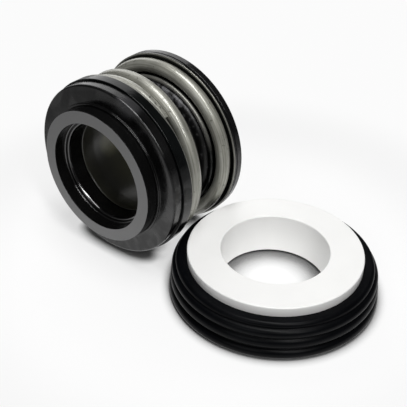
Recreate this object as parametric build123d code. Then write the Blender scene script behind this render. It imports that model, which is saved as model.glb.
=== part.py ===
from build123d import *
import os
from math import cos, pi, radians, sin, sqrt

# Component mechanical seal for a pump shaft, in millimetres. The rotary head lies on its side and
# the stationary seat lies flat beside it. +X runs along the head's axis, from its lapped running
# face to its rear, and +Z is up. The origin is on the ground, at the centre of the pair's outline.

# ---- Driving dimensions -------------------------------------------------------------------------
shaft_radius = 9.525            # 3/4 inch pump shaft that both halves go on
shaft_grip = 0.125              # the rubber tail's squeeze on the shaft, on the radius
fit_clearance = 0.05            # between the rubber tail and the retainer pressed over it
sheet = 0.55                    # thickness of the pressed retainers

# Rotary head, on the radius
head_radius = 17.65             # the two retainers' lips, on which the head lies
socket_step = 0.4               # how far the retainers stand out past the rubber socket
spring_clearance = 0.05         # between the spring and the lips round it
bead_clearance = 0.05           # between the spring and the rear sleeve's bead inside it
neck_clearance = 0.2            # between the spring and the rubber neck inside it

# Rotary head, along its axis from the lapped face
socket_front = 2.8              # shoulder of the rubber socket
socket_rear = 4.95              # where the front retainer's shell begins
front_seat = 6.65               # where the spring sits on the front retainer's plate
carbon_rear = 5.9
head_rear = 22.3                # back of the rubber flange
flange_thickness = 1.35
front_lip_length = 0.75         # from the front spring seat to the end of the lip
rear_lip_length = 0.3           # from the rear spring seat to the end of the lip
sleeve_length = 3.15            # from the rear spring seat to the front of the sleeve's bead

# Spring
wire_radius = 1.4
turn_gap = 0.15                 # between the wire's front end and the turn behind it
tip_rise = 0.8                  # how far the wire's end leads away from its seat
tip_turns = 0.11                # over this part of a turn
open_turns = 1.93               # turns after which the coil lies flat on its rear seat
spring_turns = 2.43
tip_angle = 39.5                # front end of the wire, from the top towards the seat
points_per_turn = 24

# Stationary seat, on the radius and up from the ground
seat_bore_radius = 10.0
seat_ring_radius = 16.25
seat_height = 8.8
cup_floor = 0.5
cup_rim_wall = 2.1              # rubber round the ceramic ring at the rim
cup_rim_height = 7.1
cup_foot_reach = 1.25           # how far the foot stands out past the rim

# Places of the seat's centre, seen from the centre of the head's running face
seat_behind_face = 13.7
seat_nest = 0.4                 # how far the cup's rim nests in under the round head

# ---- Derived places -----------------------------------------------------------------------------
cup_rim_radius = seat_ring_radius + cup_rim_wall
cup_foot_radius = cup_rim_radius + cup_foot_reach
head_half_width = sqrt(cup_rim_height * (2 * head_radius - cup_rim_height))     # at the rim
seat_beside_axis = cup_rim_radius + head_half_width - seat_nest
head_y = (seat_beside_axis + cup_foot_radius - head_radius) / 2
seat_y = head_y - seat_beside_axis
face_x = -seat_behind_face

bead_radius = 0.45              # the rear sleeve's front edge, rolled outwards
tail_bore_radius = shaft_radius - shaft_grip
lip_bore_radius = head_radius - sheet
coil_radius = lip_bore_radius - spring_clearance - wire_radius
coil_inside = coil_radius - wire_radius
neck_radius = coil_inside - neck_clearance
sleeve_radius = coil_inside - bead_clearance - 2 * bead_radius

flange_front = head_rear - flange_thickness
rear_seat = flange_front - sheet
plate_front = front_seat - sheet
sleeve_front = rear_seat - sleeve_length


def turned(outline, axis):
    """One solid, turned from a closed outline in the XZ plane about the given axis."""
    with BuildPart() as ring:
        with BuildSketch(Plane.XZ):
            add(outline)
        revolve(axis=axis)
    return ring.part


def closed_outline(points, rounded=()):
    """A face through (along, radius) points, with its listed corners rounded: (corner, radius)."""
    with BuildSketch() as sketch:
        with BuildLine():
            Polyline(*points, close=True)
        make_face()
        for corner, radius in rounded:
            fillet(sketch.vertices().sort_by_distance(corner)[0], radius)
    return sketch.sketch


def on_head(shape):
    """Carries a piece turned about the X axis to the head's place, lying on its lips."""
    return Pos(face_x, head_y, head_radius) * shape


def on_seat(shape):
    """Carries a piece turned about the Z axis to the seat's place on the ground."""
    return Pos(0, seat_y, 0) * shape


# ---- Carbon ring --------------------------------------------------------------------------------
carbon_face_bore = 10.8         # relief behind the running face
carbon_relief_depth = 2.6
carbon_bore = 10.1
carbon_nose_radius = 13.3
carbon_edge = 0.15
shoulder_wall = 0.5             # rubber in front of the carbon's collar
collar_wall = 2.05              # round it
plate_wall = 0.55               # and behind it
neck_wall = 1.4                 # round the carbon's spigot

socket_radius = head_radius - socket_step
carbon_collar_radius = socket_radius - collar_wall
carbon_collar_front = socket_front + shoulder_wall
carbon_collar_rear = socket_rear - plate_wall
carbon_spigot_radius = neck_radius - neck_wall


def primary_ring():
    """Carbon ring: nose with the lapped face, collar in the socket and short spigot behind it."""
    nose_front = (0, carbon_nose_radius)
    relief_front = (0, carbon_face_bore)
    outline = closed_outline(
        [
            relief_front,
            nose_front,
            (carbon_collar_front, carbon_nose_radius),
            (carbon_collar_front, carbon_collar_radius),
            (carbon_collar_rear, carbon_collar_radius),
            (carbon_collar_rear, carbon_spigot_radius),
            (carbon_rear, carbon_spigot_radius),
            (carbon_rear, carbon_bore),
            (carbon_relief_depth, carbon_bore),
            (carbon_relief_depth, carbon_face_bore),
        ],
        [(nose_front, carbon_edge), (relief_front, carbon_edge)],
    )
    return on_head(turned(outline, Axis.X))


# ---- Rubber bellows -----------------------------------------------------------------------------
lip_rise = 0.4                  # thin wiping lip round the nose, in front of the shoulder
lip_wall = 0.5
socket_edge = 0.45
rubber_edge = 0.2
floor_length = 2.7              # thick rubber behind the carbon, before the thin wall
tail_lead = 0.65                # how far the tail begins in front of the retainer's sleeve
fold_depth = 1.1                # the thin wall bulges outwards by this inside
fold_rise = 1.4                 # and by this outside
fold_step = 1.1                 # the bulge's crest lies this far below the neck

lip_radius = carbon_nose_radius + lip_wall
fold_front = carbon_rear + floor_length
fold_rear = sleeve_front - tail_lead
fold_radius = neck_radius - fold_step
wall_radius = fold_radius - fold_rise


def bellows():
    """Moulded rubber: stepped socket, bulged thin wall, tail sleeve on the shaft and rear flange."""
    fold_middle = (fold_front + fold_rear) / 2
    tail_outside = sleeve_radius - fit_clearance
    shell_inside = lip_bore_radius - fit_clearance
    with BuildSketch() as sketch:
        with BuildLine():
            # Inside, from the lip round the carbon nose to the rear
            Polyline(
                (socket_front - lip_rise, carbon_nose_radius),
                (carbon_collar_front, carbon_nose_radius),
                (carbon_collar_front, carbon_collar_radius),
                (carbon_collar_rear, carbon_collar_radius),
                (carbon_collar_rear, carbon_spigot_radius),
                (carbon_rear, carbon_spigot_radius),
                (carbon_rear, tail_bore_radius),
                (fold_front, tail_bore_radius),
            )
            ThreePointArc(
                (fold_front, tail_bore_radius),
                (fold_middle, tail_bore_radius + fold_depth),
                (fold_rear, tail_bore_radius),
            )
            Polyline(
                (fold_rear, tail_bore_radius),
                (head_rear, tail_bore_radius),
                (head_rear, head_radius),
                (flange_front, head_radius),
                (flange_front, tail_outside),
                (fold_rear, tail_outside),
                (fold_rear, wall_radius),
            )
            # Outside, from the tail back to the lip
            ThreePointArc((fold_rear, wall_radius), (fold_middle, fold_radius), (fold_front, wall_radius))
            Polyline(
                (fold_front, wall_radius),
                (fold_front, neck_radius),
                (plate_front, neck_radius),
                (plate_front, shell_inside),
                (socket_rear, shell_inside),
                (socket_rear, socket_radius),
                (socket_front, socket_radius),
                (socket_front, lip_radius),
                (socket_front - lip_rise, lip_radius),
                (socket_front - lip_rise, carbon_nose_radius),
            )
        make_face()
        for corner, radius in [
            ((socket_front, socket_radius), socket_edge),
            ((head_rear, head_radius), rubber_edge),
            ((head_rear, tail_bore_radius), rubber_edge),
            ((socket_front - lip_rise, lip_radius), rubber_edge),
        ]:
            fillet(sketch.vertices().sort_by_distance(corner)[0], radius)
    return on_head(turned(sketch.sketch, Axis.X))


# ---- Pressed retainers --------------------------------------------------------------------------
bend = 0.35                     # outside radius of the pressed corners
sheet_edge = 0.2                # rounding of the sheet's free edges


def front_retainer():
    """Pressed ring: shell round the socket's rear, plate that the spring sits on, and low lip."""
    shell_end = (socket_rear, head_radius)
    lip_end = (front_seat + front_lip_length, head_radius)
    outline = closed_outline(
        [
            shell_end,
            lip_end,
            (front_seat + front_lip_length, lip_bore_radius),
            (front_seat, lip_bore_radius),
            (front_seat, neck_radius),
            (plate_front, neck_radius),
            (plate_front, lip_bore_radius),
            (socket_rear, lip_bore_radius),
        ],
        [(shell_end, sheet_edge), (lip_end, sheet_edge)],
    )
    return on_head(turned(outline, Axis.X))


def rear_retainer():
    """Pressed channel ring: lip over the spring, spring seat, and sleeve with a rolled front edge."""
    corner = (flange_front, head_radius)
    lip_end = rear_seat - rear_lip_length
    sleeve_outside = sleeve_radius + sheet
    bead_middle = sleeve_front + bead_radius
    outline = closed_outline(
        [
            (bead_middle, sleeve_radius),
            (flange_front, sleeve_radius),
            corner,
            (lip_end, head_radius),
            (lip_end, lip_bore_radius),
            (rear_seat, lip_bore_radius),
            (rear_seat, sleeve_outside),
            (bead_middle, sleeve_outside),
        ],
        [(corner, bend), ((lip_end, head_radius), sheet_edge)],
    )
    with BuildSketch() as section:
        add(outline)
        with Locations((bead_middle, sleeve_radius + bead_radius)):
            Circle(bead_radius)
    return on_head(turned(section.sketch, Axis.X))


# ---- Coil spring --------------------------------------------------------------------------------
front_wire_centre = front_seat + wire_radius
rear_wire_centre = rear_seat - wire_radius
closed_pitch = 2 * wire_radius + turn_gap

# The wire's centre along the head: (turns from the front end, place behind the running face).
# The end leads off its seat, the turn then lies almost flat, and the next turn is the open one.
wire_places = [
    (0, front_wire_centre),
    (tip_turns, front_wire_centre + tip_rise),
    (1 - tip_turns, front_wire_centre + closed_pitch - tip_rise),
    (1, front_wire_centre + closed_pitch),
    (1 + tip_turns, front_wire_centre + closed_pitch + tip_rise),
    (open_turns, rear_wire_centre),
    (spring_turns, rear_wire_centre),
]


def wire_place(turn):
    """The wire's place along the head after some turns, with no overshoot between the given ones."""
    turns, places = zip(*wire_places)
    steps = [b - a for a, b in zip(turns, turns[1:])]
    rises = [(b - a) / step for a, b, step in zip(places, places[1:], steps)]
    slopes = [rises[0]]
    for before, after in zip(rises, rises[1:]):
        slopes.append(2 * before * after / (before + after) if before * after > 0 else 0)
    slopes.append(rises[-1])
    i = max(k for k in range(len(steps)) if turns[k] <= turn)
    t = (turn - turns[i]) / steps[i]
    return (
        (2 * t**3 - 3 * t**2 + 1) * places[i]
        + (t**3 - 2 * t**2 + t) * steps[i] * slopes[i]
        + (3 * t**2 - 2 * t**3) * places[i + 1]
        + (t**3 - t**2) * steps[i] * slopes[i + 1]
    )


def spring():
    """Round-wire coil spring with closed ends, swept along its own centre line."""
    count = round(points_per_turn * spring_turns)
    centres = []
    for step in range(count + 1):
        turn = spring_turns * step / count
        angle = radians(tip_angle) - 2 * pi * turn
        centres.append(
            Vector(wire_place(turn), -coil_radius * sin(angle), coil_radius * cos(angle))
        )
    with BuildPart() as coil:
        with BuildLine():
            path = Spline(*centres)
        with BuildSketch(Plane(origin=path @ 0, z_dir=path % 0)):
            Circle(wire_radius)
        sweep(path=path, is_frenet=False)
    section = pi * wire_radius**2
    print("spring", round(coil.part.volume), "mm3, wire section times length", round(section * path.length))
    return on_head(coil.part)


# ---- Ceramic seat ring --------------------------------------------------------------------------
ceramic_edge = 0.25


def seat_ring():
    """Plain ceramic ring with broken edges."""
    corners = [
        (seat_bore_radius, cup_floor),
        (seat_ring_radius, cup_floor),
        (seat_ring_radius, seat_height),
        (seat_bore_radius, seat_height),
    ]
    outline = closed_outline(corners, [(corner, ceramic_edge) for corner in corners])
    return on_seat(turned(outline, Axis.Z))


# ---- Rubber seat cup ----------------------------------------------------------------------------
cup_bore_radius = 10.3
cup_rim_side = 0.75             # height of the rim's straight side
cup_edge = 0.45
cup_foot_height = 0.9
# Grooves and crests down the outside, from the rim to the foot: (reach past the rim, height)
groove_places = [(-0.1, 5.95), (0.35, 4.15), (0.45, 1.95)]
crest_places = [(0.7, 5.1), (0.95, 3.05)]


def seat_cup():
    """Moulded rubber cup: thin floor, wall round the ceramic ring and four ribs that seal a bore."""
    rim_corner = (cup_rim_radius, cup_rim_height)
    grooves = [(cup_rim_radius + reach, height) for reach, height in groove_places]
    crests = [(cup_rim_radius + reach, height) for reach, height in crest_places]
    # The foot is an arc that reaches its full radius at its crest, and is cut off by the ground
    foot_reach = cup_foot_radius - grooves[-1][0]
    foot_rise = grooves[-1][1] - cup_foot_height
    foot_arc = (foot_reach**2 + foot_rise**2) / (2 * foot_reach)
    heel = (cup_foot_radius - foot_arc + sqrt(foot_arc**2 - cup_foot_height**2), 0)
    with BuildSketch() as sketch:
        with BuildLine():
            Polyline(
                (cup_bore_radius, 0),
                (cup_bore_radius, cup_floor),
                (seat_ring_radius, cup_floor),
                (seat_ring_radius, cup_rim_height),
                rim_corner,
                (cup_rim_radius, cup_rim_height - cup_rim_side),
                grooves[0],
            )
            for upper, crest, lower in zip(grooves, crests, grooves[1:]):
                ThreePointArc(upper, crest, lower)
            ThreePointArc(grooves[-1], (cup_foot_radius, cup_foot_height), heel)
            Line(heel, (cup_bore_radius, 0))
        make_face()
        fillet(sketch.vertices().sort_by_distance(rim_corner)[0], cup_edge)
    return on_seat(turned(sketch.sketch, Axis.Z))


if __name__ == "__main__":
    os.makedirs("parts", exist_ok=True)
    for make in [primary_ring, bellows, front_retainer, spring, rear_retainer, seat_ring, seat_cup]:
        export_step(make(), os.path.join("parts", make.__name__ + ".step"))
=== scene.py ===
import math

import bpy
from bpy.props import FloatProperty, FloatVectorProperty, IntProperty, PointerProperty
from bpy.types import NodeSocket, Operator, Panel, PropertyGroup
from mathutils import Matrix, Vector


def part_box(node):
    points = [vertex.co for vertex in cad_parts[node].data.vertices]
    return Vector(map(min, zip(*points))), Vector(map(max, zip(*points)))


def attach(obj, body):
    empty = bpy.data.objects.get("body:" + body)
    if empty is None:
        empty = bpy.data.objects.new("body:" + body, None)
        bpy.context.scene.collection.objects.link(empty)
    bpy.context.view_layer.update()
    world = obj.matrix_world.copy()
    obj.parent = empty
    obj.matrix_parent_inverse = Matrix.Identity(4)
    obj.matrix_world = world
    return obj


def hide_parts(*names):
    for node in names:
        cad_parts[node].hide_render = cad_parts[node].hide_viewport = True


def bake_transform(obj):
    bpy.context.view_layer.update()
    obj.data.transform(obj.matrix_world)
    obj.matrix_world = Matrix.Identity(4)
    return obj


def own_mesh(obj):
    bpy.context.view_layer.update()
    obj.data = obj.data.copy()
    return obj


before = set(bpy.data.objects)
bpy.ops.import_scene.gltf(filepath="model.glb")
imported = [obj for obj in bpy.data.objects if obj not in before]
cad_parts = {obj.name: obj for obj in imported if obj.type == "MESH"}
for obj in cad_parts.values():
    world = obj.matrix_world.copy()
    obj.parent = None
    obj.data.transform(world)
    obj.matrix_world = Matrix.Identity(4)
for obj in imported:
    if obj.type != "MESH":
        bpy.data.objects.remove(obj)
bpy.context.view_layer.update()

bl_info = {
    "name": "Component Mechanical Seal",
    "version": (1, 0, 0),
    "blender": (4, 5, 0),
    "location": "View3D > Sidebar > Seal",
    "description": "Models and finishes a rubber-bellows shaft seal around its packed frame",
    "category": "Object",
}

MM = 0.001
RING_SEGMENTS = 256

# ---- Places, read from the frame ----------------------------------------------------------------
carbon_low, carbon_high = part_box("primary_ring")
rear_low, rear_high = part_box("rear_retainer")
ceramic_low, ceramic_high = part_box("seat_ring")

FACE_X = carbon_low.x
HEAD_CENTRE = Vector((FACE_X, (rear_low.y + rear_high.y) / 2, (rear_low.z + rear_high.z) / 2))
SEAT_CENTRE = Vector(((ceramic_low.x + ceramic_high.x) / 2, (ceramic_low.y + ceramic_high.y) / 2, 0))
HEAD_RADIUS = (rear_high.z - rear_low.z) / 2
CERAMIC_RADIUS = (ceramic_high.x - ceramic_low.x) / 2
CERAMIC_TOP = ceramic_high.z
CUP_FLOOR = ceramic_low.z


# ---- Fixed sizes --------------------------------------------------------------------------------
# The cup's ribs, as (reach past the rim, height) in millimetres, from the rim down to the foot.
CUP_GROOVES = [(-0.2, 5.95), (0.2, 4.15), (0.3, 1.95)]
CUP_CRESTS = [(0.75, 5.1), (1.0, 3.05)]

# The carbon's collar inside the rubber: its radius, the rubber in front of it, how far its back is in
# front of the socket's rear, and the rubber round the spigot behind it.
COLLAR = 15.2 * MM
COLLAR_COVER = 0.5 * MM
COLLAR_BACK = 0.55 * MM
NECK_WALL = 1.4 * MM

# Roundings of the rubber's bore, socket and tail, and the gap inside the front ring's shell.
BORE_MOUTH = 0.25 * MM
SOCKET_CORNER = 0.45 * MM
TAIL_CORNER = 1.0 * MM
SHELL_GAP = 0.05 * MM

# How far in front of the carbon's step the oil begins, in times the step's hollow, and how far outside
# the running face's bore a face may lie and still be oiled.
OILED_HOLLOWS = 1.2
BORE_SLACK = 0.02 * MM

# The studio: the floor's side, how far it lies under the object, and how far off the lamps stand.
FLOOR_SIDE = 4000 * MM
FLOOR_DROP = 0.01 * MM
LAMP_DISTANCE = 600 * MM


# ---- Sizes and colours that a user would change -------------------------------------------------
def length(name, millimetres, description):
    """A length property, given in millimetres and kept in metres."""
    metres = millimetres * MM
    return FloatProperty(name=name, default=metres, description=description, unit="LENGTH", min=0)


def angle(name, degrees, description):
    """An angle property, given in degrees and kept in radians."""
    radians = math.radians(degrees)
    return FloatProperty(name=name, default=radians, description=description, unit="ROTATION")


def amount(name, value, description):
    """A plain number property."""
    return FloatProperty(name=name, default=value, description=description)


def colour(name, value, description):
    """A colour property."""
    return FloatVectorProperty(
        name=name, default=value, description=description, subtype="COLOR", size=3, min=0, max=1
    )


class HeadSizes(PropertyGroup):
    """Sizes of the rotary head, on the radius and along its axis from the running face"""

    face_bore: length("Running face bore", 10.8, "Inside radius of the running face")
    nose: length("Carbon nose", 13.3, "Outside radius of the carbon nose")
    relief: length("Relief depth", 2.6, "Depth of the step in the carbon's bore")
    carbon_bore: length("Carbon bore", 9.75, "Radius of the carbon's bore behind the step")
    carbon_rear: length("Carbon length", 5.9, "Back of the carbon ring")
    chamfer: length("Step chamfer", 0.34, "Width of the chamfer at the step in the carbon's bore")
    chamfer_slant: angle("Chamfer slant", 22, "Angle between the chamfer and the head's axis")
    chamfer_heel: length("Chamfer heel", 0.15, "Rounding between the chamfer and the bore")
    step_corner: length("Step corner", 0.3, "Rounding between the chamfer and the step")
    step_hollow: length("Step hollow", 0.25, "Rounding in the inner corner of the step")
    carbon_edge: length("Carbon edge", 0.13, "Rounding of the carbon's edges")
    tail_bore: length("Tail bore", 9.4, "Radius of the rubber that grips the shaft")
    shoulder: length("Shoulder", 2.8, "Front of the rubber socket")
    lip_rise: length("Lip rise", 0.4, "Height of the rubber lip round the nose")
    lip: length("Lip radius", 13.8, "Outside radius of the rubber lip")
    socket: length("Socket radius", 17.25, "Outside radius of the rubber socket")
    socket_rear: length("Socket rear", 4.95, "Where the front retainer's shell begins")
    neck: length("Neck radius", 14.05, "Outside radius of the rubber neck in the retainer")
    fold_front: length("Fold front", 8.6, "Where the thin rubber wall begins")
    fold_rear: length("Fold rear", 16.6, "Where the thin rubber wall ends")
    fold: length("Fold radius", 12.95, "Outside radius of the bulge in the thin wall")
    fold_foot: length("Fold foot", 11.55, "Outside radius at both ends of the thin wall")
    fold_depth: length("Fold depth", 0.25, "How far the bore bulges outwards")
    tail: length("Tail radius", 13.25, "Outside radius of the tail inside its sleeve")
    flange_front: length("Flange front", 20.95, "Front of the rubber flange")
    rear: length("Head length", 22.3, "Back of the rubber flange")
    rubber_edge: length("Rubber edge", 0.12, "Rounding of the rubber's other edges")


class RetainerSizes(PropertyGroup):
    """Sizes of the two pressed rings, along the head's axis from the running face"""

    sheet: length("Sheet", 0.55, "Thickness of the pressed rings")
    front_seat: length("Front seat", 6.65, "Where the spring sits on the front ring's plate")
    front_lip: length("Front lip", 0.75, "From the front seat to the end of the lip")
    rear_lip: length("Rear lip", 0.3, "From the rear seat to the end of the lip")
    sleeve: length("Sleeve radius", 13.3, "Inside radius of the rear ring's sleeve")
    bead_front: length("Bead front", 17.25, "Front of the rolled bead")
    bead: length("Bead radius", 0.45, "Radius of the rolled bead")
    bend: length("Bend", 0.35, "Outside radius of the pressed corners")
    edge: length("Sheet edge", 0.12, "Rounding of the sheet's edges")


class SpringSizes(PropertyGroup):
    """Sizes of the coil spring"""

    wire: length("Wire radius", 1.4, "Radius of the spring wire")
    coil: length("Coil radius", 15.65, "From the head's axis to the middle of the wire")
    front: length("Front coil", 8.05, "Middle of the wire at its front end")
    rear: length("Rear coil", 19.0, "Middle of the wire in the flat rear turn")
    pitch: length("Closed pitch", 2.95, "From the wire's front end to the turn behind it")
    rise: length("Tip rise", 0.8, "How far the wire's end leads away from its seat")
    tip_turns: amount("Tip turns", 0.11, "Part of a turn that leads off the seat")
    open_turns: amount("Open turns", 1.93, "Turns to where the coil lies flat")
    turns: amount("Turns", 2.43, "Turns of the whole spring")
    tip_angle: angle("Tip angle", 39.5, "Front end of the wire, from the top towards the seat")
    end_edge: length("End edge", 0.2, "Rounding of the wire's cut ends")
    points_per_turn: IntProperty(name="Points per turn", default=96, description="Mesh rings in a turn")


class SeatSizes(PropertyGroup):
    """Sizes of the stationary seat, on the radius and up from the ground"""

    bore: length("Ceramic bore", 10.0, "Radius of the ceramic ring's bore")
    ceramic_edge: length("Ceramic edge", 0.25, "Rounding of the ceramic's edges")
    rim: length("Rim radius", 18.35, "Outside radius of the cup's rim")
    rim_height: length("Rim height", 7.1, "Height of the flat rim round the ceramic")
    rim_corner: length("Rim corner", 0.7, "Rounding of the rim's outer edge")
    cup_bore: length("Cup bore", 10.3, "Radius of the hole in the cup's floor")
    cup_edge: length("Cup edge", 0.3, "Rounding of the cup's other edges")
    foot_reach: length("Foot reach", 1.25, "How far the foot stands out past the rim")
    foot_height: length("Foot height", 0.9, "Height of the foot's crest")


class Finishes(PropertyGroup):
    """Colours of the finishes"""

    carbon: colour("Carbon", (0.0035, 0.0035, 0.0036), "Carbon ring")
    lapped: colour("Lapped carbon", (0.19, 0.19, 0.191), "Running face")
    rubber: colour("Rubber", (0.0022, 0.0022, 0.0023), "Bellows")
    bore_rubber: colour("Bore rubber", (0.0265, 0.0258, 0.0155), "Greased rubber inside the bellows")
    cup_rubber: colour("Cup rubber", (0.0012, 0.0014, 0.0019), "Cup round the ceramic seat")
    enamel: colour("Enamel", (0.0014, 0.0018, 0.0018), "Coating of the pressed rings")
    steel: colour("Spring steel", (0.42, 0.418, 0.38), "Spring wire and bare edges of the rings")
    grime: colour("Grime", (0.05, 0.05, 0.045), "Specks on the spring wire")
    ceramic: colour("Ceramic", (0.88, 0.878, 0.865), "Seat ring")


class StudioSettings(PropertyGroup):
    """Camera and lamps"""

    view_azimuth: angle("View azimuth", 51.832, "Turn of the view from +Y to +X")
    view_elevation: angle("View elevation", 34.625, "Tilt of the view below level")
    view_roll: angle("View roll", 0.892, "Roll of the camera")
    view_distance: length("View distance", 164.7, "From the camera to where it looks on the floor")
    view_target_x: length("View target X", 12.807, "Where on the floor the camera looks")
    view_target_y: length("View target Y", 11.948, "Where on the floor the camera looks")
    focal_length: amount("Focal length", 66.34, "Lens, in millimetres")
    floor: colour("Floor", (0.9, 0.9, 0.9), "Floor and backdrop")
    lamp_target: length("Lamp target", 10.0, "Height of the point that the lamps face")
    top_light: amount("Top light", 7.2, "Brightness of the lamp overhead")
    strip_light: amount("Strip light", 17.0, "Brightness of the narrow lamp above the camera")
    rear_light: amount("Rear light", 1.25, "Brightness of the lamp behind the object")
    front_light: amount("Front light", 1.7, "Brightness of the lamp in front of the running face")
    ambient: amount("Ambient", 0.05, "Brightness of the surroundings")
    mirrored: amount("Mirrored backdrop", 0.03, "Share of the white backdrop that metal and glass show")


# ---- Mesh tools ---------------------------------------------------------------------------------
def deselect_all():
    """Leaves edit mode and selects nothing, so that an operator works on what comes next alone."""
    if bpy.context.object and bpy.context.object.mode != "OBJECT":
        bpy.ops.object.mode_set(mode="OBJECT")
    bpy.ops.object.select_all(action="DESELECT")


def arc(centre, radius, start, end, steps=6):
    """Points on a round stretch of an outline, from one angle to another in degrees."""
    points = []
    for step in range(steps + 1):
        turn = math.radians(start + (end - start) * step / steps)
        points.append((centre[0] + radius * math.cos(turn), centre[1] + radius * math.sin(turn)))
    return points


def bulge(first, middle, last, steps):
    """Points on the arc through three points, the ends left out."""
    (ax, ay), (bx, by), (cx, cy) = first, middle, last
    d = 2 * (ax * (by - cy) + bx * (cy - ay) + cx * (ay - by))
    a2, b2, c2 = ax * ax + ay * ay, bx * bx + by * by, cx * cx + cy * cy
    centre = Vector(
        (
            (a2 * (by - cy) + b2 * (cy - ay) + c2 * (ay - by)) / d,
            (a2 * (cx - bx) + b2 * (ax - cx) + c2 * (bx - ax)) / d,
        )
    )
    radius = (Vector(first) - centre).length
    start = math.atan2(ay - centre.y, ax - centre.x)
    end = math.atan2(cy - centre.y, cx - centre.x)
    through = math.atan2(by - centre.y, bx - centre.x)
    full = 2 * math.pi
    if (through - start) % full > (end - start) % full:
        sweep = (end - start) % full - full
    else:
        sweep = (end - start) % full
    angles = [start + sweep * step / steps for step in range(1, steps)]
    return [(centre.x + radius * math.cos(t), centre.y + radius * math.sin(t)) for t in angles]


def turned_ring(name, outline, centre, axis):
    """A closed ring. A circle is drawn at the outline's first (along, radius) point, its edge is
    extruded and scaled from point to point, and the last edge is bridged to the first."""
    deselect_all()
    along = Vector((1, 0, 0)) if axis == "X" else Vector((0, 0, 1))
    across = Vector((0, 1, 1)) if axis == "X" else Vector((1, 1, 0))
    turn = (0, math.pi / 2, 0) if axis == "X" else (0, 0, 0)
    start, radius = outline[0]
    bpy.ops.mesh.primitive_circle_add(
        vertices=RING_SEGMENTS, radius=radius, location=centre + along * start, rotation=turn
    )
    ring = bpy.context.object
    ring.name = ring.data.name = name
    bpy.ops.object.mode_set(mode="EDIT")
    bpy.ops.mesh.select_mode(type="EDGE")
    bpy.ops.mesh.select_all(action="SELECT")
    for (here, old), (there, new) in zip(outline, outline[1:]):
        bpy.ops.mesh.extrude_edges_move(TRANSFORM_OT_translate={"value": along * (there - here)})
        factor = across * (new / old) + along
        bpy.ops.transform.resize(value=factor, center_override=centre + along * there)
    bpy.ops.mesh.select_all(action="DESELECT")
    bpy.ops.mesh.select_non_manifold()
    bpy.ops.mesh.bridge_edge_loops()
    bpy.ops.mesh.select_all(action="SELECT")
    bpy.ops.mesh.normals_make_consistent(inside=False)
    bpy.ops.object.mode_set(mode="OBJECT")
    bpy.ops.object.transform_apply(location=True, rotation=True, scale=True)
    return ring


def finish_edges(piece, width, segments=3, sharp=35):
    """Rounds the edges that turn by more than a sharp angle, in degrees, and shades the piece smooth
    with its flat faces kept."""
    deselect_all()
    bpy.context.view_layer.objects.active = piece
    piece.select_set(True)
    edge = piece.modifiers.new("rounding", "BEVEL")
    edge.width = width
    edge.segments = segments
    edge.limit_method = "ANGLE"
    edge.angle_limit = math.radians(sharp)
    bpy.ops.object.modifier_apply(modifier=edge.name)
    bpy.ops.object.shade_smooth()
    flat = piece.modifiers.new("flat faces", "WEIGHTED_NORMAL")
    flat.weight = 100
    bpy.ops.object.modifier_apply(modifier=flat.name)
    piece.select_set(False)


def dress(piece, material, body, slot, *nodes):
    """Gives a finished piece its material and its body, and hides the nodes that it stands for. The slot
    is not used.
    """
    piece.data.materials.clear()
    piece.data.materials.append(material)
    if body:
        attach(piece, body)
    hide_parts(*nodes)


def paint_bore(piece, material, front, rear, radius):
    """Gives the faces inside a radius, between two places on the head's axis, a second material."""
    piece.data.materials.append(material)
    for face in piece.data.polygons:
        place = face.center - HEAD_CENTRE
        face.material_index = int(front < place.x < rear and math.hypot(place.y, place.z) < radius)


# ---- Material tools -----------------------------------------------------------------------------
def scaled(shade, factor):
    """A colour made darker or lighter."""
    return tuple(min(1, channel * factor) for channel in shade)


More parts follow.
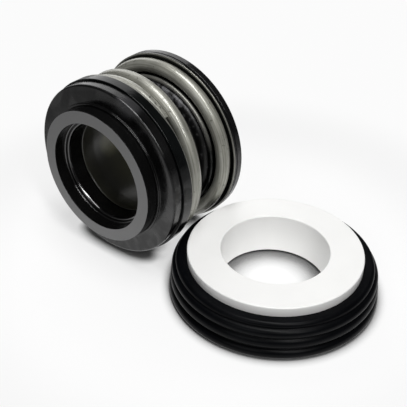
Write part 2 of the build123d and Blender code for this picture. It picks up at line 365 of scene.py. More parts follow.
class Tree:
    """The nodes of a material or a group, with short ways to add and join them."""

    def __init__(self, tree):
        self.nodes = tree.nodes
        self.links = tree.links

    def give(self, socket, value):
        """Sets a socket, or links it where the value is a socket itself."""
        if isinstance(value, NodeSocket):
            self.links.new(value, socket)
        else:
            socket.default_value = value

    def add(self, kind, inputs=None, **attributes):
        """A node of one kind, with its attributes and its inputs set."""
        node = self.nodes.new("ShaderNode" + kind)
        for name, value in attributes.items():
            setattr(node, name, value)
        for name, value in (inputs or {}).items():
            self.give(node.inputs[name], value)
        return node

    def math(self, operation, *values):
        """The result of a Math node on its values."""
        node = self.add("Math", operation=operation)
        for socket, value in zip(node.inputs, values):
            self.give(socket, value)
        return node.outputs[0]

    def vector(self, operation, *values, output="Vector"):
        """The result of a Vector Math node on its vectors."""
        node = self.add("VectorMath", operation=operation)
        for socket, value in zip(node.inputs, values):
            self.give(socket, value)
        return node.outputs[output]

    def slope(self, value, start, end, first=0, last=1):
        """A soft change from one number to another between two limits of a value."""
        limits = {"Value": value, "From Min": start, "From Max": end, "To Min": first, "To Max": last}
        return self.add("MapRange", limits, interpolation_type="SMOOTHSTEP").outputs["Result"]

    def noise(self, vector, scale, detail, **inputs):
        """A noise value on some coordinates."""
        given = {"Vector": vector, "Scale": scale, "Detail": detail, **inputs}
        return self.add("TexNoise", given).outputs["Fac"]

    def ramp(self, value, *stops):
        """A colour that changes with a value, from two (place, grey or colour) stops."""
        node = self.add("ValToRGB", {"Fac": value})
        for element, (place, shade) in zip(node.color_ramp.elements, stops):
            element.position = place
            element.color = (shade, shade, shade, 1) if isinstance(shade, float) else (*shade, 1)
        return node.outputs["Color"]

    def blend(self, mask, first, second, blend_type="MIX"):
        """A colour that goes from one to another, or is laid over it, by a mask."""
        node = self.add("Mix", {"Factor": mask}, data_type="RGBA", blend_type=blend_type)
        sockets = [socket for socket in node.inputs if socket.type == "RGBA"]
        for socket, shade in zip(sockets, (first, second)):
            self.give(socket, shade if isinstance(shade, NodeSocket) else (*shade, 1))
        return next(socket for socket in node.outputs if socket.type == "RGBA")

    def group(self, make, **inputs):
        """The outputs of a node group placed with its own values. It is built the first time."""
        node = self.add("Group", node_tree=bpy.data.node_groups.get(make.__name__) or make())
        for name, value in inputs.items():
            self.give(node.inputs[name], value)
        return node.outputs

    def bump(self, shader, height, distance):
        """Bumps on a shader's surface, from a height."""
        node = self.add("Bump", {"Height": height, "Distance": distance})
        self.give(shader["Normal"], node.outputs["Normal"])


def new_material(name):
    """A material, its tree, its shader's inputs and its Object coordinates."""
    material = bpy.data.materials.new(name)
    material.use_nodes = True
    tree = Tree(material.node_tree)
    place = tree.add("TexCoord").outputs["Object"]
    return material, tree, tree.nodes["Principled BSDF"].inputs, place


# ---- Node groups that several materials use -----------------------------------------------------
def new_group(name, inputs, outputs):
    """A node group with named inputs and outputs, each {name: kind}: the group, its tree, and the
    sockets that bring in its inputs and take its outputs."""
    group = bpy.data.node_groups.new(name, "ShaderNodeTree")
    for direction, sockets in (("INPUT", inputs), ("OUTPUT", outputs)):
        for socket, kind in sockets.items():
            group.interface.new_socket(name=socket, in_out=direction, socket_type="NodeSocket" + kind)
    given = group.nodes.new("NodeGroupInput").outputs
    result = group.nodes.new("NodeGroupOutput").inputs
    return group, Tree(group), given, result


def surface_grain():
    """Fine uneven surface: a height for bump, and soft patches for colour and roughness."""
    group, tree, given, result = new_group(
        "surface_grain",
        {"Vector": "Vector", "Coarse": "Float", "Fine": "Float"},
        {"Height": "Float", "Patches": "Float"},
    )
    coarse = tree.noise(given["Vector"], given["Coarse"], 3)
    fine = tree.noise(given["Vector"], given["Fine"], 4)
    tree.give(result["Height"], tree.math("MULTIPLY_ADD", fine, 0.35, coarse))
    tree.give(result["Patches"], coarse)
    return group


def head_place():
    """How far a point is behind the running face, from the head's axis and above it, in metres."""
    group, tree, given, result = new_group(
        "head_place", {"Vector": "Vector"}, {"Along": "Float", "Radius": "Float", "Above": "Float"}
    )
    moved = tree.vector("SUBTRACT", given["Vector"], HEAD_CENTRE)
    split = tree.add("SeparateXYZ", {"Vector": moved}).outputs
    across = tree.vector("MULTIPLY", moved, (0, 1, 1))
    tree.give(result["Along"], split["X"])
    tree.give(result["Radius"], tree.vector("LENGTH", across, output="Value"))
    tree.give(result["Above"], split["Z"])
    return group


def band_mask():
    """A mask that is 1 where a value lies between two limits, with soft sides."""
    group, tree, given, result = new_group(
        "band_mask",
        {"Value": "Float", "Low": "Float", "High": "Float", "Blur": "Float"},
        {"Mask": "Float"},
    )
    sides = {}
    for side in ("Low", "High"):
        start = tree.math("SUBTRACT", given[side], given["Blur"])
        end = tree.math("ADD", given[side], given["Blur"])
        sides[side] = tree.slope(given["Value"], start, end)
    under = tree.math("SUBTRACT", 1, sides["High"])
    tree.give(result["Mask"], tree.math("MULTIPLY", sides["Low"], under))
    return group


def spot_mask():
    """A mask that falls from 1 to 0 between two distances from a place."""
    group, tree, given, result = new_group(
        "spot_mask",
        {"Vector": "Vector", "Centre": "Vector", "Near": "Float", "Far": "Float"},
        {"Mask": "Float"},
    )
    away = tree.vector("DISTANCE", given["Vector"], given["Centre"], output="Value")
    tree.give(result["Mask"], tree.slope(away, given["Near"], given["Far"], 1, 0))
    return group


def bare_steel():
    """Colour and roughness of drawn steel, from soft patches."""
    group, tree, given, result = new_group(
        "bare_steel", {"Patches": "Float", "Steel": "Color"}, {"Color": "Color", "Roughness": "Float"}
    )
    tone = tree.ramp(given["Patches"], (0.3, 0.78), (0.7, 1.0))
    tree.give(result["Color"], tree.blend(1, tone, given["Steel"], "MULTIPLY"))
    tree.give(result["Roughness"], tree.ramp(given["Patches"], (0.3, 0.42), (0.7, 0.52)))
    return group


# ---- Materials ----------------------------------------------------------------------------------
def bellows_material(finishes):
    """Moulded rubber, smeared with oil on the socket and the flange, with a painted grey reflection at
    one place on the socket's edge, and dull and dust-covered on the wall between them, where the dust is
    painted lighter towards the top as a highlight."""
    wall_reach = {"Low": 7 * MM, "High": 20 * MM, "Blur": 0.4 * MM}
    # Heights above the axis where the painted highlight on the dust begins and is full, and how strong
    # it is.
    highlight_foot, highlight_top, highlight_gain = 8 * MM, 11 * MM, 0.2
    painted_reflection_place, painted_reflection_near, painted_reflection_far = Vector((3.1, -6.2, 16.2)) * MM, 1.4 * MM, 3.4 * MM
    rubber = tuple(finishes.rubber)

    material, tree, shader, place = new_material("bellows_rubber")
    texture = tree.group(surface_grain, Vector=place, Coarse=230, Fine=2600)
    patches = texture["Patches"]
    head = tree.group(head_place, Vector=place)
    wall = tree.group(band_mask, Value=head["Along"], **wall_reach)["Mask"]

    clean = tree.ramp(patches, (0.35, rubber), (0.75, scaled(rubber, 1.8)))
    # Dust patches that grow towards the top of the head: real dust, and a painted highlight on the upper
    # wall.
    upper = tree.math("MULTIPLY", tree.slope(head["Above"], highlight_foot, highlight_top), highlight_gain)
    dust_and_highlight_pattern = tree.math("ADD", tree.noise(place, 900, 4), upper)
    dust_and_painted_highlight = tree.ramp(dust_and_highlight_pattern, (0.62, rubber), (0.82, scaled(rubber, 50)))
    # Painted reflection: one lighter grey spot on the socket's edge, in the base colour.
    painted_reflection = tree.group(
        spot_mask, Vector=place, Centre=HEAD_CENTRE + painted_reflection_place, Near=painted_reflection_near, Far=painted_reflection_far
    )["Mask"]
    with_dust_and_highlight = tree.blend(wall, clean, dust_and_painted_highlight)
    tree.give(shader["Base Color"], tree.blend(painted_reflection, with_dust_and_highlight, scaled(rubber, 14)))

    smears = tree.noise(place, 260, 3, Distortion=0.8)
    gloss = tree.ramp(smears, (0.4, 0.11), (0.66, 0.34))
    dull = tree.ramp(patches, (0.3, 0.36), (0.7, 0.46))
    tree.give(shader["Roughness"], tree.blend(wall, gloss, dull))
    oil = tree.ramp(smears, (0.4, 0.0), (0.66, 0.5))
    tree.give(shader["Coat Weight"], tree.math("MULTIPLY", oil, tree.math("SUBTRACT", 1, wall)))
    shader["Coat Roughness"].default_value = 0.12
    shader["Specular IOR Level"].default_value = 0.4
    tree.bump(shader, texture["Height"], 0.06 * MM)
    return material


def greased_material(finishes):
    """Rubber inside the bore under an olive film of grease, painted lighter towards the tail as light,
    with one painted highlight spot.
    """
    painted_light_front, painted_light_rear = 8 * MM, 16 * MM
    painted_highlight_place, painted_highlight_near, painted_highlight_far = Vector((13.4, 9.2, -1.6)) * MM, 1.2 * MM, 3.6 * MM
    film = tuple(finishes.bore_rubber)

    material, tree, shader, place = new_material("greased_rubber")
    texture = tree.group(surface_grain, Vector=place, Coarse=200, Fine=1600)
    patches = texture["Patches"]
    head = tree.group(head_place, Vector=place)
    # Painted light: the film's colour grows lighter towards the tail.
    painted_tail_light = tree.slope(head["Along"], painted_light_front, painted_light_rear)
    # Painted highlight: one lighter spot far into the bore.
    painted_highlight_mask = tree.group(
        spot_mask, Vector=place, Centre=HEAD_CENTRE + painted_highlight_place, Near=painted_highlight_near, Far=painted_highlight_far
    )["Mask"]

    thin = tree.ramp(patches, (0.3, scaled(film, 0.5)), (0.75, scaled(film, 0.9)))
    film_with_painted_light = tree.ramp(patches, (0.3, scaled(film, 2.2)), (0.75, scaled(film, 3.2)))
    painted_highlight = tree.ramp(patches, (0.3, scaled(film, 7)), (0.75, scaled(film, 10)))
    tree.give(shader["Base Color"], tree.blend(painted_highlight_mask, tree.blend(painted_tail_light, thin, film_with_painted_light), painted_highlight))
    tree.give(shader["Roughness"], tree.ramp(patches, (0.3, 0.3), (0.7, 0.4)))
    shader["Specular IOR Level"].default_value = 0.8
    tree.bump(shader, texture["Height"], 0.015 * MM)
    return material


def cup_material(finishes):
    """Satin moulded rubber."""
    rubber = tuple(finishes.cup_rubber)
    material, tree, shader, place = new_material("cup_rubber")
    texture = tree.group(surface_grain, Vector=place, Coarse=180, Fine=2600)
    patches = texture["Patches"]
    tree.give(shader["Base Color"], tree.ramp(patches, (0.35, rubber), (0.75, scaled(rubber, 1.6))))
    tree.give(shader["Roughness"], tree.ramp(patches, (0.3, 0.3), (0.7, 0.4)))
    shader["Specular IOR Level"].default_value = 0.07
    tree.bump(shader, texture["Height"], 0.02 * MM)
    return material


def enamel_material(finishes):
    """Black enamel, worn to the steel on the lips and on the rolled bead, whose bare steel is kept to
    its upper side and dimmed as a painted highlight.
    """
    front_lip = {"Low": 7.2 * MM, "High": 8.0 * MM, "Blur": 0.06 * MM}
    rear_lip = {"Low": 19.9 * MM, "High": 20.26 * MM, "Blur": 0.06 * MM}
    outside = {"Low": 17.4 * MM, "High": 20 * MM, "Blur": 0.06 * MM}
    bead = {"Low": 17.0 * MM, "High": 17.85 * MM, "Blur": 0.15 * MM}
    front_widening, rear_share, bead_share = 0.3 * MM, 0.75, 0.6
    coat = tuple(finishes.enamel)

    material, tree, shader, place = new_material("black_enamel")
    texture = tree.group(surface_grain, Vector=place, Coarse=420, Fine=2200)
    patches = texture["Patches"]
    head = tree.group(head_place, Vector=place)
    top = tree.slope(head["Above"], 11 * MM, 15 * MM)
    upper = tree.slope(head["Above"], 2 * MM, 10 * MM)

    widened = tree.math("MULTIPLY_ADD", top, front_widening, head["Along"])
    front_worn = tree.group(band_mask, Value=widened, **front_lip)["Mask"]
    rear_end = tree.group(band_mask, Value=head["Along"], **rear_lip)["Mask"]
    rear_side = tree.group(band_mask, Value=head["Radius"], **outside)["Mask"]
    rear_worn = tree.math("MULTIPLY", tree.math("MULTIPLY", rear_end, rear_side), rear_share)
    # The bead's bare steel fades downwards: wear, and a painted highlight from above.
    bead_band = tree.group(band_mask, Value=head["Along"], **bead)["Mask"]
    bead_wear_and_highlight = tree.math("MULTIPLY", bead_band, tree.math("MULTIPLY", upper, bead_share))
    bare = tree.math("MAXIMUM", tree.math("MAXIMUM", front_worn, rear_worn), bead_wear_and_highlight)

    steel = tree.group(bare_steel, Patches=patches, Steel=(*finishes.steel, 1))
    enamel = tree.ramp(patches, (0.35, coat), (0.75, scaled(coat, 2)))
    gloss = tree.ramp(patches, (0.3, 0.1), (0.7, 0.18))
    tree.give(shader["Base Color"], tree.blend(bare, enamel, steel["Color"]))
    tree.give(shader["Roughness"], tree.blend(bare, gloss, steel["Roughness"]))
    tree.give(shader["Metallic"], bare)
    shader["Specular IOR Level"].default_value = 0.3
    tree.bump(shader, texture["Height"], 0.03 * MM)
    return material


def carbon_material(finishes):
    """Black carbon with a grey lapped face."""
    face_depth = 0.03 * MM
    material, tree, shader, place = new_material("carbon")
    texture = tree.group(surface_grain, Vector=place, Coarse=300, Fine=4000)
    patches = texture["Patches"]
    head = tree.group(head_place, Vector=place)
    lapped = tree.math("LESS_THAN", head["Along"], face_depth)
    tree.give(shader["Base Color"], tree.blend(lapped, tuple(finishes.carbon), tuple(finishes.lapped)))
    sides = tree.ramp(patches, (0.3, 0.16), (0.7, 0.24))
    face = tree.ramp(patches, (0.3, 0.34), (0.7, 0.42))
    tree.give(shader["Roughness"], tree.blend(lapped, sides, face))
    shader["Specular IOR Level"].default_value = 0.2
    tree.bump(shader, texture["Height"], 0.004 * MM)
    return material


def oiled_carbon_material(finishes):
    """The step in the carbon's bore, wet with oil."""
    carbon = tuple(finishes.carbon)
    material, tree, shader, place = new_material("oiled_carbon")
    texture = tree.group(surface_grain, Vector=place, Coarse=300, Fine=4000)
    patches = texture["Patches"]
    tree.give(shader["Base Color"], tree.ramp(patches, (0.3, scaled(carbon, 0.5)), (0.7, carbon)))
    tree.give(shader["Roughness"], tree.ramp(patches, (0.3, 0.06), (0.7, 0.11)))
    shader["Specular IOR Level"].default_value = 1.0
    tree.bump(shader, texture["Height"], 0.001 * MM)
    return material


def steel_material(finishes):
    """Drawn spring wire with lengthwise streaks, specks of grime and a thin film of oil."""
    streak_length = (1.6, 1, 1)
    tip_front, tip_rear, tip_blur, tip_gain = -0.1, 0.05, 0.04, 0.09
    material, tree, shader, place = new_material("spring_steel")
    texture = tree.group(surface_grain, Vector=place, Coarse=260, Fine=2400)
    steel = tree.group(bare_steel, Patches=texture["Patches"], Steel=(*finishes.steel, 1))

    lie = tree.add("Attribute", attribute_name="wire_lie").outputs["Vector"]
    streaks = tree.noise(tree.vector("MULTIPLY", lie, streak_length), 5, 5, Roughness=0.6)
    drawn = tree.ramp(streaks, (0.38, (0.62, 0.62, 0.58)), (0.6, (1.06, 1.06, 1.04)))
    streaked = tree.blend(1, steel["Color"], drawn, "MULTIPLY")

    turned = tree.add("SeparateXYZ", {"Vector": lie}).outputs["X"]
    tip = tree.group(band_mask, Value=turned, Low=tip_front, High=tip_rear, Blur=tip_blur)["Mask"]
    specks = tree.math("ADD", tree.noise(place, 1500, 2), tree.math("MULTIPLY", tip, tip_gain))
    grime = tree.ramp(specks, (0.66, 0.0), (0.72, 0.7))
    tree.give(shader["Base Color"], tree.blend(grime, streaked, tuple(finishes.grime)))
    tree.give(shader["Roughness"], steel["Roughness"])
    shader["Metallic"].default_value = 0.5
    tree.give(shader["Coat Weight"], tree.ramp(streaks, (0.42, 0.3), (0.56, 1.0)))
    shader["Coat Roughness"].default_value = 0.08
    tree.bump(shader, tree.math("ADD", texture["Height"], streaks), 0.012 * MM)
    return material


def ceramic_material(finishes):
    """White ceramic with a faint unevenness."""
    ceramic = tuple(finishes.ceramic)
    material, tree, shader, place = new_material("white_ceramic")
    texture = tree.group(surface_grain, Vector=place, Coarse=150, Fine=3000)
    patches = texture["Patches"]
    tree.give(shader["Base Color"], tree.ramp(patches, (0.3, scaled(ceramic, 0.975)), (0.7, ceramic)))
    tree.give(shader["Roughness"], tree.ramp(patches, (0.3, 0.32), (0.7, 0.4)))
    tree.bump(shader, texture["Height"], 0.003 * MM)
    return material


def floor_material(floor):
    """Pale floor that the camera, metal and glass see nearly white, with the object's shadow kept.
    It is palest in the pool of light round the object, and shaded where the object stands on it,
    more widely inside the seat's bore."""
    pool, pool_end, far_tone = 35 * MM, 75 * MM, 0.35
    bore_near, bore_far = 10.2 * MM, 10.4 * MM
    shade_width, bore_shade_width, shade_tone = 3.5 * MM, 7.5 * MM, 0.2
    near_glow, far_glow, mirrored_glow = 0.6, 0.95, 0.6

    material, tree, shader, place = new_material("pale_floor")
    far = tree.slope(tree.vector("LENGTH", place, output="Value"), pool, pool_end)
    near = tree.math("SUBTRACT", 1, far)
    bore = tree.group(spot_mask, Vector=place, Centre=SEAT_CENTRE, Near=bore_near, Far=bore_far)["Mask"]
    width = tree.math("MULTIPLY_ADD", bore, bore_shade_width - shade_width, shade_width)
    open_sky = tree.add("AmbientOcclusion", {"Distance": width}, samples=16).outputs["AO"]
    clear = tree.ramp(open_sky, (0.5, 0.0), (0.86, 1.0))
    rays = tree.add("LightPath").outputs
    camera = rays["Is Camera Ray"]

    pale = tree.blend(far, tuple(floor), scaled(floor, far_tone))
    shaded = tree.math("MULTIPLY", camera, tree.math("SUBTRACT", 1, clear))
    tree.give(shader["Base Color"], tree.blend(shaded, pale, scaled(floor, shade_tone)))
    shader["Roughness"].default_value = 0.9

    glow_share = tree.math("MULTIPLY_ADD", far, far_glow - near_glow, near_glow)
    seen = tree.math("MULTIPLY", glow_share, tree.math("MULTIPLY", camera, clear))
    for ray in ("Is Glossy Ray", "Is Transmission Ray"):
        mirrored = tree.math("MULTIPLY", rays[ray], mirrored_glow)
        seen = tree.math("ADD", seen, tree.math("MULTIPLY", mirrored, near))
    mix = tree.add("MixShader", {"Fac": seen})
    tree.give(mix.inputs[1], tree.nodes["Principled BSDF"].outputs["BSDF"])
    tree.give(mix.inputs[2], tree.add("Emission").outputs["Emission"])
    tree.give(tree.nodes["Material Output"].inputs["Surface"], mix.outputs["Shader"])
    return material


# ---- Pieces -------------------------------------------------------------------------------------
def collar_outline(head):
    """The carbon's collar and spigot, which the rubber socket fits round."""
    front = head.shoulder + COLLAR_COVER
    rear = head.socket_rear - COLLAR_BACK
    spigot = head.neck - NECK_WALL
    return [
        (front, head.nose),
        (front, COLLAR),
        (rear, COLLAR),
        (rear, spigot),
        (head.carbon_rear, spigot),
    ]


class SEAL_OT_carbon_ring(Operator):
    """Carbon ring with its lapped running face, plain nose, collar and stepped bore"""

    bl_idname = "seal.carbon_ring"
    bl_label = "Carbon Ring"

    def execute(self, context):
        head, finishes = context.scene.seal_head, context.scene.seal_finishes
        heel, corner, hollow = head.chamfer_heel, head.step_corner, head.step_hollow
        slant = math.degrees(head.chamfer_slant)
        along, out = math.cos(head.chamfer_slant), math.sin(head.chamfer_slant)
        chamfer_reach = head.carbon_bore + heel * (1 - along) + head.chamfer * out
        chamfer_rear = head.relief + corner * (1 - out) + head.chamfer * along
        outline = [
            (0, head.face_bore),
            (0, head.nose),
            *collar_outline(head),
            (head.carbon_rear, head.carbon_bore),
            *arc((chamfer_rear + heel * out, head.carbon_bore + heel), heel, 270, 270 - slant, steps=3),
            *arc((head.relief + corner, chamfer_reach + corner * along), corner, 270 - slant, 180),
            *arc((head.relief - hollow, head.face_bore - hollow), hollow, 0, 90),
        ]
        ring = turned_ring("carbon_ring", outline, HEAD_CENTRE, "X")
        finish_edges(ring, head.carbon_edge)
        dress(ring, carbon_material(finishes), "face_group", "carbon", "primary_ring")
        oiled = oiled_carbon_material(finishes)
        oiled_front = head.relief - OILED_HOLLOWS * hollow
        paint_bore(ring, oiled, oiled_front, chamfer_rear + heel, head.face_bore + BORE_SLACK)
        return {"FINISHED"}


class SEAL_OT_rubber_bellows(Operator):
    """Moulded rubber socket, thin wall, tail and rear flange in one piece"""

    bl_idname = "seal.rubber_bellows"
    bl_label = "Rubber Bellows"

    def execute(self, context):
        head, rings = context.scene.seal_head, context.scene.seal_retainers
        finishes = context.scene.seal_finishes
        middle = (head.fold_front + head.fold_rear) / 2
        inner = [
            (head.fold_front, head.tail_bore),
            (middle, head.tail_bore + head.fold_depth),
            (head.fold_rear, head.tail_bore),
        ]
        outer = [
            (head.fold_rear, head.fold_foot),
            (middle, head.fold),
            (head.fold_front, head.fold_foot),
        ]
        plate = rings.front_seat - rings.sheet
        shell_inside = HEAD_RADIUS - rings.sheet - SHELL_GAP
        outline = [
            (head.shoulder - head.lip_rise, head.nose),
            *collar_outline(head),
            *arc((head.carbon_rear + BORE_MOUTH, head.tail_bore + BORE_MOUTH), BORE_MOUTH, 180, 270),
            inner[0],
            *bulge(*inner, steps=14),
            inner[2],
            (head.rear, head.tail_bore),
            (head.rear, HEAD_RADIUS),
            (head.flange_front, HEAD_RADIUS),
            (head.flange_front, head.tail),
            *arc((head.fold_rear + TAIL_CORNER, head.tail - TAIL_CORNER), TAIL_CORNER, 90, 180, steps=8),
            outer[0],
            *bulge(*outer, steps=14),
            outer[2],
            (head.fold_front, head.neck),
            (plate, head.neck),
            (plate, shell_inside),
            (head.socket_rear, shell_inside),
            (head.socket_rear, head.socket),
            *arc((head.shoulder + SOCKET_CORNER, head.socket - SOCKET_CORNER), SOCKET_CORNER, 90, 180),
            (head.shoulder, head.lip),
            (head.shoulder - head.lip_rise, head.lip),
        ]
        bellows = turned_ring("rubber_bellows", outline, HEAD_CENTRE, "X")
        finish_edges(bellows, head.rubber_edge)
        dress(bellows, bellows_material(finishes), None, "rubber", "bellows")
        paint_bore(bellows, greased_material(finishes), head.carbon_rear, head.rear, head.carbon_bore)
        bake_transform(bellows)
        return {"FINISHED"}


def front_cup_outline(head, sizes):
    """Shell round the socket, plate for the spring's front end, and a short lip round the wire."""
    lip_bore = HEAD_RADIUS - sizes.sheet
    plate = sizes.front_seat - sizes.sheet
    lip_end = sizes.front_seat + sizes.front_lip
    return [
        (head.socket_rear, lip_bore),
        (head.socket_rear, HEAD_RADIUS),
        (lip_end, HEAD_RADIUS),
        (lip_end, lip_bore),
        (sizes.front_seat, lip_bore),
        (sizes.front_seat, head.neck),
        (plate, head.neck),
        (plate, lip_bore),
    ]


def rear_cup_outline(head, sizes):
    """Plate for the spring's rear end with a short lip, and a sleeve that ends in a rolled bead."""
    back, bead = head.flange_front, sizes.bead
    lip_bore = HEAD_RADIUS - sizes.sheet
    seat = back - sizes.sheet
    lip_end = seat - sizes.rear_lip
    outside = sizes.sleeve + sizes.sheet
    bead_x = sizes.bead_front + bead
    bead_start = math.degrees(math.asin((sizes.sheet - bead) / bead))
    return [
        (back, sizes.sleeve),
        *arc((back - sizes.bend, HEAD_RADIUS - sizes.bend), sizes.bend, 0, 90),
        (lip_end, HEAD_RADIUS),
        (lip_end, lip_bore),
        (seat, lip_bore),
        (seat, outside),
        *arc((bead_x, sizes.sleeve + bead), bead, bead_start, 270, steps=18),
    ]


class SEAL_OT_retainers(Operator):
    """The two pressed rings that hold the spring"""

    bl_idname = "seal.retainers"
    bl_label = "Pressed Retainers"

    def execute(self, context):
        head, sizes = context.scene.seal_head, context.scene.seal_retainers
        enamel = enamel_material(context.scene.seal_finishes)
        front = turned_ring("front_cup", front_cup_outline(head, sizes), HEAD_CENTRE, "X")
        finish_edges(front, sizes.edge)
        dress(front, enamel, "face_group", "retainer", "front_retainer")
        rear = turned_ring("rear_cup", rear_cup_outline(head, sizes), HEAD_CENTRE, "X")
        finish_edges(rear, sizes.edge)
        dress(rear, enamel, "base", "retainer", "rear_retainer")
        return {"FINISHED"}


def wire_depth(spring, turn):
    """How far behind the running face the wire's middle is, after some turns from its front end.
    The curve passes a few fixed places and never turns back between them."""
    tip = spring.tip_turns
    turns = (0, tip, 1 - tip, 1, 1 + tip, spring.open_turns, spring.turns)
    rises = (0, spring.rise, spring.pitch - spring.rise, spring.pitch, spring.pitch + spring.rise)
    depths = [spring.front + rise for rise in rises] + [spring.rear, spring.rear]
    spans = [after - before for before, after in zip(turns, turns[1:])]
    grades = [(after - before) / span for before, after, span in zip(depths, depths[1:], spans)]
    slopes = [grades[0]]
    for before, after in zip(grades, grades[1:]):
        slopes.append(2 * before * after / (before + after) if before * after > 0 else 0)
    slopes.append(grades[-1])
    i = max(k for k in range(len(spans)) if turns[k] <= turn)
    t = (turn - turns[i]) / spans[i]
    return (
        (2 * t**3 - 3 * t**2 + 1) * depths[i]
        + (t**3 - 2 * t**2 + t) * spans[i] * slopes[i]
        + (3 * t**2 - 2 * t**3) * depths[i + 1]
        + (t**3 - t**2) * spans[i] * slopes[i + 1]
    )


def mark_lie(coil, spring):
    """Keeps, for each vertex, how far along the wire and where around it the vertex is, so that
    streaks follow the wire. The first number is in turns, the others are a unit circle."""
    past_end = 0.05
    lie = coil.data.attributes.new("wire_lie", "FLOAT_VECTOR", "POINT")
    for vertex in coil.data.vertices:
        place = vertex.co - HEAD_CENTRE
        first = ((spring.tip_angle - math.atan2(-place.y, place.z)) / (2 * math.pi)) % 1
        out = math.hypot(place.y, place.z) - spring.coil
        passes = (first - 1, first, first + 1, first + 2)
        turns = [turn for turn in passes if -past_end < turn < spring.turns + past_end]
        gaps = {turn: place.x - wire_depth(spring, min(max(turn, 0), spring.turns)) for turn in turns}
        nearest = min(turns, key=lambda turn: math.hypot(gaps[turn], out))
        around = math.atan2(out, gaps[nearest])
        lie.data[vertex.index].vector = (nearest, math.cos(around), math.sin(around))


class SEAL_OT_coil_spring(Operator):
    """Round-wire spring with a closed front turn and a flat rear turn"""

    bl_idname = "seal.coil_spring"
    bl_label = "Coil Spring"

    def execute(self, context):
        spring = context.scene.seal_spring
        count = round(spring.points_per_turn * spring.turns)
        curve = bpy.data.curves.new("coil_spring", "CURVE")
        curve.dimensions = "3D"
        curve.bevel_depth = spring.wire
        curve.bevel_resolution = 12
        curve.use_fill_caps = True
        line = curve.splines.new("POLY")
        line.points.add(count)
        for step, point in enumerate(line.points):
            turn = spring.turns * step / count
            around = spring.tip_angle - 2 * math.pi * turn
            across = Vector((0, -math.sin(around), math.cos(around))) * spring.coil
            place = HEAD_CENTRE + Vector((wire_depth(spring, turn), 0, 0)) + across
            point.co = (*place, 1)
        coil = bpy.data.objects.new("coil_spring", curve)
        context.scene.collection.objects.link(coil)
        deselect_all()
        coil.select_set(True)
        context.view_layer.objects.active = coil
        bpy.ops.object.convert(target="MESH")
        coil = context.object
        coil.name = coil.data.name = "coil_spring"
        finish_edges(coil, spring.end_edge, segments=4, sharp=50)
        mark_lie(coil, spring)
        dress(coil, steel_material(context.scene.seal_finishes), "base", "spring_steel", "spring")
        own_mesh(coil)
        return {"FINISHED"}


class SEAL_OT_ceramic_seat(Operator):
    """Plain white ceramic ring"""

    bl_idname = "seal.ceramic_seat"
    bl_label = "Ceramic Seat"

    def execute(self, context):
        seat = context.scene.seal_seat
        outline = [
            (CUP_FLOOR, seat.bore),
            (CUP_FLOOR, CERAMIC_RADIUS),
            (CERAMIC_TOP, CERAMIC_RADIUS),
            (CERAMIC_TOP, seat.bore),
        ]
        ring = turned_ring("ceramic_seat", outline, SEAT_CENTRE, "Z")
        finish_edges(ring, seat.ceramic_edge)
        dress(ring, ceramic_material(context.scene.seal_finishes), "base", "ceramic", "seat_ring")
        return {"FINISHED"}


def cup_outline(seat):
    """The cup's floor, wall, rounded rim and ribs. Each rib is an arc from groove to groove over its
    crest, and the foot is an arc from the last groove over its crest to the ground."""
    grooves = [(height * MM, seat.rim + reach * MM) for reach, height in CUP_GROOVES]
    crests = [(height * MM, seat.rim + reach * MM) for reach, height in CUP_CRESTS]
    corner = seat.rim_corner
    foot_crest = (seat.foot_height, seat.rim + seat.foot_reach)
    foot_rise = grooves[-1][0] - foot_crest[0]
    foot_reach = foot_crest[1] - grooves[-1][1]
    foot_arc = (foot_reach**2 + foot_rise**2) / (2 * foot_reach)
    ground = (0, foot_crest[1] - foot_arc + math.sqrt(foot_arc**2 - seat.foot_height**2))
    outline = [
        (0, seat.cup_bore),
        (CUP_FLOOR, seat.cup_bore),
        (CUP_FLOOR, CERAMIC_RADIUS),
        (seat.rim_height, CERAMIC_RADIUS),
        *arc((seat.rim_height - corner, seat.rim - corner), corner, 0, 90, steps=8),
        grooves[0],
    ]
    for upper, crest, lower in zip(grooves, crests, grooves[1:]):
        outline += [*bulge(upper, crest, lower, steps=8), lower]
    outline += [*bulge(grooves[-1], foot_crest, ground, steps=8), ground]
    return outline


class SEAL_OT_rubber_cup(Operator):
    """Moulded rubber cup round the ceramic ring, with rounded ribs down its side"""

    bl_idname = "seal.rubber_cup"
    bl_label = "Rubber Cup"

    def execute(self, context):
        seat = context.scene.seal_seat
        cup = turned_ring("rubber_cup", cup_outline(seat), SEAT_CENTRE, "Z")
        finish_edges(cup, seat.cup_edge)
        dress(cup, cup_material(context.scene.seal_finishes), "base", "rubber", "seat_cup")
        return {"FINISHED"}


# ---- Studio -------------------------------------------------------------------------------------
def softbox(name, aim, brightness, turn, tilt, width, height):
    """A flat soft lamp that faces a point. It lies from there at a turn from +X and a tilt above
    level, both in degrees."""
    data = bpy.data.lights.new(name, "AREA")
    data.shape = "RECTANGLE"
    data.size, data.size_y = width, height
    data.energy = brightness * math.pi * width * height
    lamp = bpy.data.objects.new(name, data)
    bpy.context.scene.collection.objects.link(lamp)
    turn, tilt = math.radians(turn), math.radians(tilt)
    away = Vector((math.cos(turn) * math.cos(tilt), math.sin(turn) * math.cos(tilt), math.sin(tilt)))
    lamp.location = aim + away * LAMP_DISTANCE
    lamp.rotation_euler = away.to_track_quat("Z", "Y").to_euler()
    lamp.visible_camera = False


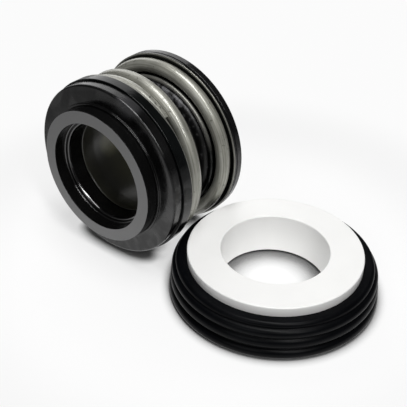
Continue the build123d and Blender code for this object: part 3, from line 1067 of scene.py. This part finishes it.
def white_surroundings(studio):
    """A world that is white to the camera, faint in metal and glass, and dim as a light."""
    white = (1, 1, 1, 1)
    world = bpy.data.worlds.new("studio_world")
    world.use_nodes = True
    tree = Tree(world.node_tree)
    ambient = tree.nodes["Background"]
    tree.give(ambient.inputs["Color"], white)
    tree.give(ambient.inputs["Strength"], studio.ambient)
    backdrop = tree.add("Background", {"Color": white, "Strength": 1})
    rays = tree.add("LightPath").outputs
    seen = rays["Is Camera Ray"]
    for ray in ("Is Glossy Ray", "Is Transmission Ray"):
        seen = tree.math("ADD", seen, tree.math("MULTIPLY", rays[ray], studio.mirrored))
    mix = tree.add("MixShader", {"Fac": seen})
    tree.give(mix.inputs[1], ambient.outputs["Background"])
    tree.give(mix.inputs[2], backdrop.outputs["Background"])
    tree.give(tree.nodes["World Output"].inputs["Surface"], mix.outputs["Shader"])
    return world


def view_camera(studio):
    """The camera, looking at a point on the floor with the view's turn, tilt and roll."""
    data = bpy.data.cameras.new("camera")
    data.lens = studio.focal_length
    data.sensor_width = 36
    data.clip_start, data.clip_end = 0.01, 10
    camera = bpy.data.objects.new("camera", data)
    bpy.context.scene.collection.objects.link(camera)
    level = Vector((math.sin(studio.view_azimuth), math.cos(studio.view_azimuth), 0))
    ahead = level * math.cos(studio.view_elevation) - Vector((0, 0, math.sin(studio.view_elevation)))
    right = ahead.cross(Vector((0, 0, 1))).normalized()
    up = right.cross(ahead)
    roll = studio.view_roll
    tilted_right = right * math.cos(roll) + up * math.sin(roll)
    tilted_up = up * math.cos(roll) - right * math.sin(roll)
    turn = Matrix((tilted_right, tilted_up, -ahead)).transposed().to_4x4()
    target = Vector((studio.view_target_x, studio.view_target_y, 0))
    camera.matrix_world = Matrix.Translation(target - ahead * studio.view_distance) @ turn
    return camera


class SEAL_OT_studio(Operator):
    """Pale floor, soft lamps, white surroundings and the camera"""

    bl_idname = "seal.studio"
    bl_label = "Studio"

    def execute(self, context):
        scene, studio = context.scene, context.scene.seal_studio
        deselect_all()
        bpy.ops.mesh.primitive_plane_add(size=FLOOR_SIDE, location=(0, 0, -FLOOR_DROP))
        floor = context.object
        floor.name = "studio_floor"
        floor.data.materials.append(floor_material(studio.floor))

        aim = Vector((0, 0, studio.lamp_target))
        softbox("top_softbox", aim, studio.top_light, turn=0, tilt=90, width=0.28, height=0.28)
        softbox("strip_softbox", aim, studio.strip_light, turn=242, tilt=57, width=0.07, height=0.55)
        softbox("rear_softbox", aim, studio.rear_light, turn=52, tilt=23, width=0.50, height=0.58)
        softbox("front_softbox", aim, studio.front_light, turn=190, tilt=32, width=0.30, height=0.30)
        scene.world = white_surroundings(studio)
        scene.camera = view_camera(studio)
        scene.view_settings.view_transform = "Standard"
        return {"FINISHED"}


class SEAL_PT_panel(Panel):
    """Lists the seal's pieces"""

    bl_idname = "SEAL_PT_panel"
    bl_label = "Mechanical Seal"
    bl_space_type = "VIEW_3D"
    bl_region_type = "UI"
    bl_category = "Seal"

    def draw(self, context):
        for operator in OPERATORS:
            self.layout.operator(operator.bl_idname)


OPERATORS = (
    SEAL_OT_carbon_ring,
    SEAL_OT_rubber_bellows,
    SEAL_OT_retainers,
    SEAL_OT_coil_spring,
    SEAL_OT_ceramic_seat,
    SEAL_OT_rubber_cup,
    SEAL_OT_studio,
)
SETTINGS = {
    "seal_head": HeadSizes,
    "seal_retainers": RetainerSizes,
    "seal_spring": SpringSizes,
    "seal_seat": SeatSizes,
    "seal_finishes": Finishes,
    "seal_studio": StudioSettings,
}


def register():
    """Adds the settings to the scene, and the operators and the panel to Blender."""
    for name, group in SETTINGS.items():
        bpy.utils.register_class(group)
        setattr(bpy.types.Scene, name, PointerProperty(type=group))
    for cls in (*OPERATORS, SEAL_PT_panel):
        bpy.utils.register_class(cls)


def unregister():
    """Takes away what register added."""
    for cls in (SEAL_PT_panel, *OPERATORS[::-1]):
        bpy.utils.unregister_class(cls)
    for name, group in SETTINGS.items():
        delattr(bpy.types.Scene, name)
        bpy.utils.unregister_class(group)


def main():
    """Builds every piece and the stage in order."""
    register()
    for operator in OPERATORS:
        name = operator.bl_idname.split(".")[1]
        getattr(bpy.ops.seal, name)()


if __name__ == "__main__":
    main()
